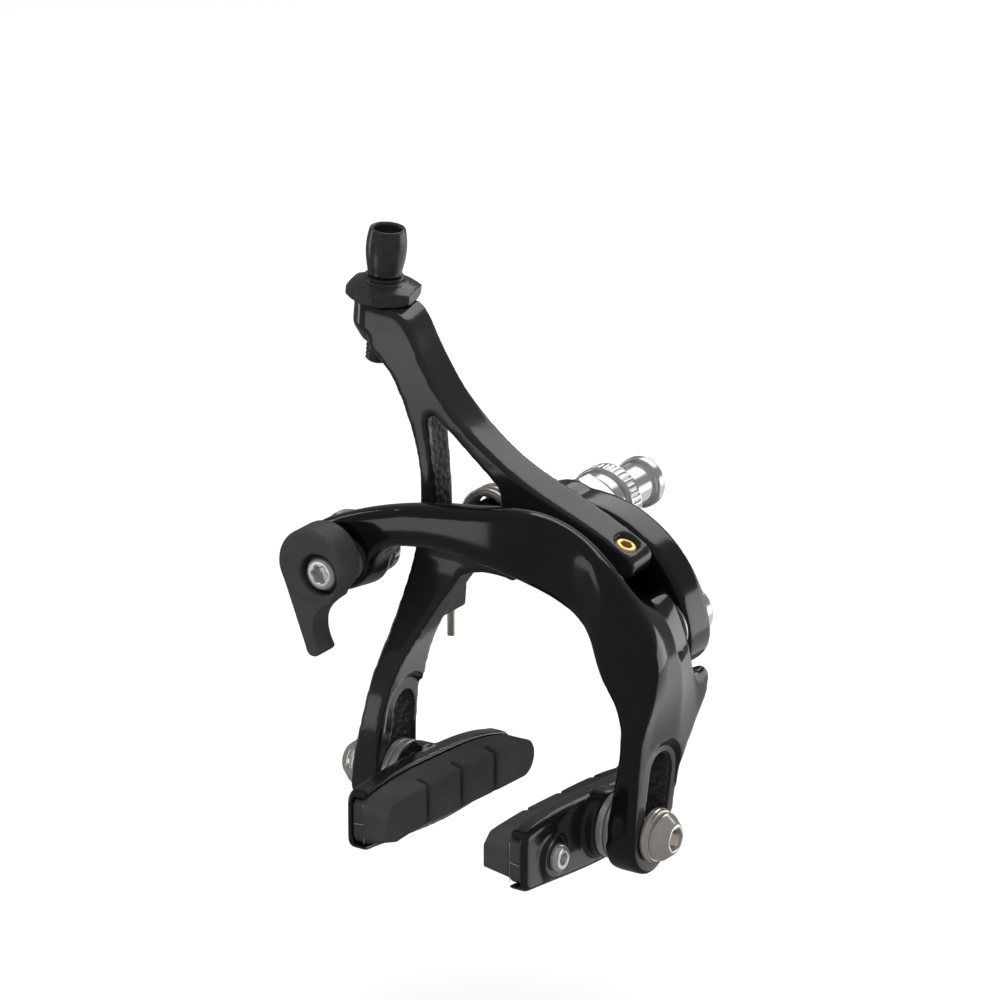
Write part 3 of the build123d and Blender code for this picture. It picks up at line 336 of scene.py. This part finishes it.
def remeshed(node, voxel):
    """Evenly meshed copy of a CAD node."""
    copy = bpy.data.objects.new(node + "_copy", NODES[node].data.copy())
    bpy.context.scene.collection.objects.link(copy)
    modifier = copy.modifiers.new("remesh", "REMESH")
    modifier.mode = "VOXEL"
    modifier.voxel_size = voxel
    modifier.use_smooth_shade = True
    graph = bpy.context.evaluated_depsgraph_get()
    mesh = bpy.data.meshes.new_from_object(copy.evaluated_get(graph))
    bpy.data.objects.remove(copy)
    return mesh


def relax(mesh, rounds, weight=None):
    """Round the edges of an even mesh: each point moves towards its neighbours' middle."""
    points = points_of(mesh)
    edges = np.zeros(len(mesh.edges) * 2, int)
    mesh.edges.foreach_get("vertices", edges)
    first, second = edges.reshape(-1, 2).T
    count = np.bincount(edges, minlength=len(points))[:, None]
    share = 0.5 if weight is None else 0.5 * weight(points)[:, None]
    for _ in range(rounds):
        total = np.zeros_like(points)
        for axis in range(3):
            total[:, axis] = (np.bincount(first, points[second, axis], len(points))
                              + np.bincount(second, points[first, axis], len(points)))
        points += share * (total / count - points)
    set_points(mesh, points)


def smooth_step(value, start, end):
    """0 before start, 1 after end, smooth between; start may be larger than end."""
    t = np.clip((value - start) / (end - start), 0.0, 1.0)
    return t * t * (3.0 - 2.0 * t)


def paint_walls(mesh, material, inside):
    """Give a second material to the faces whose centres and normals a test picks."""
    mesh.materials.append(MATERIALS[material])
    count = len(mesh.polygons)
    centres = np.zeros(count * 3)
    normals = np.zeros(count * 3)
    mesh.polygons.foreach_get("center", centres)
    mesh.polygons.foreach_get("normal", normals)
    picked = inside(centres.reshape(-1, 3), normals.reshape(-1, 3))
    index = np.zeros(count, int)
    mesh.polygons.foreach_get("material_index", index)
    index[picked] = len(mesh.materials) - 1
    mesh.polygons.foreach_set("material_index", index)


def roughen(mesh, inside, depth, seed):
    """Lift and sink the points that a test picks, as the skin of a sand-cast wall does."""
    points = points_of(mesh)
    normals = np.zeros(len(points) * 3)
    mesh.vertex_normals.foreach_get("vector", normals)
    normals = normals.reshape(-1, 3)
    picked = inside(points, normals)
    grain = np.random.default_rng(seed).normal(0.0, depth, len(points))
    points[picked] += normals[picked] * grain[picked][:, None]
    set_points(mesh, points)


# ---------------------------------------------------------------- arms and bracket
ARM_VOXEL = 0.38 * MM
PAD_BOLT = Vector((0.0, -35.5, -49.0)) * MM
SLOT_LEAN = math.radians(12.0)
SLOT_DIRECTION = Vector((0.0, math.sin(SLOT_LEAN), math.cos(SLOT_LEAN)))
SLOT_TRAVEL = 12.0 * MM
SLOT_REACH = 3.7 * MM  # from the slot's middle line to just past its walls
CAST_GRAIN = 0.05 * MM
CAST_SEED = 7
CROWN_FRONT = (-33 * MM, -36 * MM)  # y between which the arch's crown begins
CROWN_TOP = (-22 * MM, -4 * MM)  # z between which it begins
# box around the walls of the left arm's opening, and the opening's middle, in mm
WINDOW_LOW = (-23.8, -27.3, -4.4)
WINDOW_HIGH = (-6.0, -22.2, 21.8)
WINDOW_MIDDLE = (-16.0, 5.0)


def in_slot(points, normals):
    """Walls of the slot that the pad bolt slides in, in either leg."""
    offset = points[:, 1:] - np.array(PAD_BOLT)[1:]
    along_axis = np.array(SLOT_DIRECTION)[1:]
    along = np.clip(offset @ along_axis, 0.0, SLOT_TRAVEL)
    distance = np.linalg.norm(offset - along[:, None] * along_axis, axis=1)
    return (distance < SLOT_REACH) & (np.abs(normals[:, 0]) < 0.6)


def in_window(points, normals):
    """Walls of the triangular opening in the left arm, behind its glossy front lip."""
    place = points / MM
    inside = np.all((place > WINDOW_LOW) & (place < WINDOW_HIGH), axis=1)
    to_middle = WINDOW_MIDDLE - place[:, (0, 2)]
    facing_in = normals[:, 0] * to_middle[:, 0] + normals[:, 2] * to_middle[:, 1] > 0
    return inside & facing_in & (np.abs(normals[:, 1]) < 0.5)


def in_casting(points, normals):
    return in_slot(points, normals) | in_window(points, normals)


def forged_arm(node, name, material, rounds, crown_rounds=0, crown=None, walls=None):
    """An arm with its forged edges rounded, and its crowned stretches rounded further."""
    mesh = remeshed(node, ARM_VOXEL)
    if crown is not None:
        relax(mesh, crown_rounds, crown)
    relax(mesh, rounds)
    add_piece(name, mesh, material, node)
    if walls is not None:
        roughen(mesh, walls, CAST_GRAIN, CAST_SEED)
        paint_walls(mesh, "arm_cast", walls)


def add_arms():
    def arch_crown(points):
        front = smooth_step(points[:, 1], *CROWN_FRONT)
        above = smooth_step(points[:, 2], *CROWN_TOP)
        return front * above

    forged_arm("c_arm", "front_arch", "arm_paint", 12, 110, arch_crown, in_slot)
    # upper arm: the arch's black paint with painted light lifting its base colour
    forged_arm("y_arm", "upper_arm", "arm_satin_painted_light", 7, walls=in_casting)
    forged_arm("rear_bracket", "bracket_arc", "arm_paint", 8)


# ---------------------------------------------------------------- shoes
TONGUE_IN = 16.1 * MM
TONGUE_OUT = 18.3 * MM
NOSE_SET_BACK = 0.54 * MM  # of the tongue's nose behind the holder's own
SEAM_BOTTOM = -53.0 * MM
SEAM_TOP = -45.2 * MM
CROSSING_START = -49.2 * MM
CROSSING_END = -49.5 * MM
PAD_VOXEL = 0.22 * MM
HOLDER_VOXEL = 0.26 * MM
COVES = (18.9 * MM, 19.8 * MM)  # distance from the middle plane over which the bosses' coves begin


def mould_flash(mesh, side, low):
    """Thin ragged skin of rubber left by the mould on the pad's nose: one line up, one across."""
    random = np.random.default_rng(3 if side > 0 else 5)
    points, faces = [], []

    def ribbon(start, end, steps, spread):
        """Ragged strip between two points, standing proud of the nose."""
        first = len(points)
        for step in range(steps + 1):
            middle = start.lerp(end, step / steps)
            half = spread * (0.05 + 0.04 * random.random()) * MM
            lift = Vector((0.0, -(0.06 + 0.10 * random.random()) * MM, 0.0))
            points.extend([middle - half, middle + lift, middle + half])
        for step in range(steps):
            for corner in range(2):
                at = first + 3 * step + corner
                faces.append((at, at + 1, at + 4, at + 3))

    front = low.y + NOSE_SET_BACK
    seam = side * TONGUE_IN
    across = Vector((1.0, 0.0, 0.0))
    up = Vector((0.0, 0.0, 1.0))
    ribbon(Vector((seam, front, SEAM_BOTTOM)), Vector((seam, front, SEAM_TOP)), 26, across)
    ribbon(Vector((seam, front, CROSSING_START)), Vector((side * TONGUE_OUT, front, CROSSING_END)), 12, up)
    flash = bpy.data.meshes.new("flash")
    flash.from_pydata(points, [], faces)
    join = bmesh.new()
    join.from_mesh(mesh)
    old = len(join.faces)
    join.from_mesh(flash)
    join.faces.ensure_lookup_table()
    for face in join.faces[old:]:
        face.material_index = 1
    join.to_mesh(mesh)
    join.free()


def add_shoes():
    for sign, side in ((-1, "left"), (1, "right")):
        pad = remeshed(side + "_brake_pad", PAD_VOXEL)
        relax(pad, 3)
        add_piece(side + "_pad_block", pad, "pad_rubber", side + "_brake_pad")
        pad.materials.append(MATERIALS["mould_flash"])
        mould_flash(pad, sign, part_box(side + "_shoe_holder")[0])
        holder = remeshed(side + "_shoe_holder", HOLDER_VOXEL)

        def near_face(points, sign=sign):
            """The outer face, where the cast bosses run into it in coves."""
            return smooth_step(points[:, 0] * sign, *COVES)

        relax(holder, 14, near_face)
        relax(holder, 4)
        add_piece(side + "_cartridge", holder, "holder_gloss", side + "_shoe_holder")


# ---------------------------------------------------------------- small hardware
SOFTENED = {
    # node: (piece, voxel in mm, rounds of rounding)
    "adjuster_nut": ("hex_nut", 0.15, 2),
    "adjuster_barrel": ("threaded_barrel", 0.13, 2),
    "qr_lever": ("release_lever", 0.22, 4),
    "qr_screw": ("lever_screw", 0.11, 3),
    "spring_slider": ("slider_block", 0.14, 3),
    "centring_screw": ("centring_stud", 0.10, 2),
    "mounting_nut": ("recessed_nut", 0.13, 10),
    "locknut": ("bracket_locknut", 0.16, 3),
    "seating_washer": ("knurled_washer", 0.13, 2),
    "right_stepped_washer": ("right_outer_washer", 0.13, 6),
    "left_stepped_washer": ("left_outer_washer", 0.13, 6),
    "right_convex_washer": ("right_ball_washer", 0.13, 6),
    "left_convex_washer": ("left_ball_washer", 0.13, 6),
    "right_dished_washer": ("right_cup_washer", 0.13, 6),
    "left_dished_washer": ("left_cup_washer", 0.13, 6),
    "clamp_washer": ("cable_washer", 0.15, 2),
    "clamp_nut": ("cable_nut", 0.14, 2),
    "right_pad_bolt": ("right_conical_bolt", 0.12, 8),
    "left_pad_bolt": ("left_conical_bolt", 0.12, 8),
    "right_pad_screw": ("right_button_screw", 0.11, 2),
    "left_pad_screw": ("left_button_screw", 0.11, 2),
}


def add_hardware():
    """Turned and cut pieces with their sharp edges just broken."""
    for node, (name, voxel, rounds) in SOFTENED.items():
        mesh = remeshed(node, voxel * MM)
        relax(mesh, rounds)
        add_piece(name, mesh, SLOT_OF[node], node)


def add_spring():
    """Copy of the spring wire, fixed in world space at its rest place and tied to no body."""
    wire = bpy.data.objects.new("spring_wire", NODES["return_spring"].data.copy())
    bpy.context.scene.collection.objects.link(wire)
    wire.data.materials.clear()
    wire.data.materials.append(MATERIALS["spring_steel"])
    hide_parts("return_spring")
    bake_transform(wire)


def finish_cad_nodes():
    """The CAD nodes that still show get their slot's material."""
    for node, piece in NODES.items():
        if piece.hide_render:
            continue
        for slot in piece.material_slots:
            slot.material = MATERIALS[SLOT_OF[node]]


add_camera()
add_studio()
floor = add_floor()
floor.data.materials.append(pale_floor("pale_floor"))
add_arms()
add_shoes()
add_hardware()
add_spring()
finish_cad_nodes()
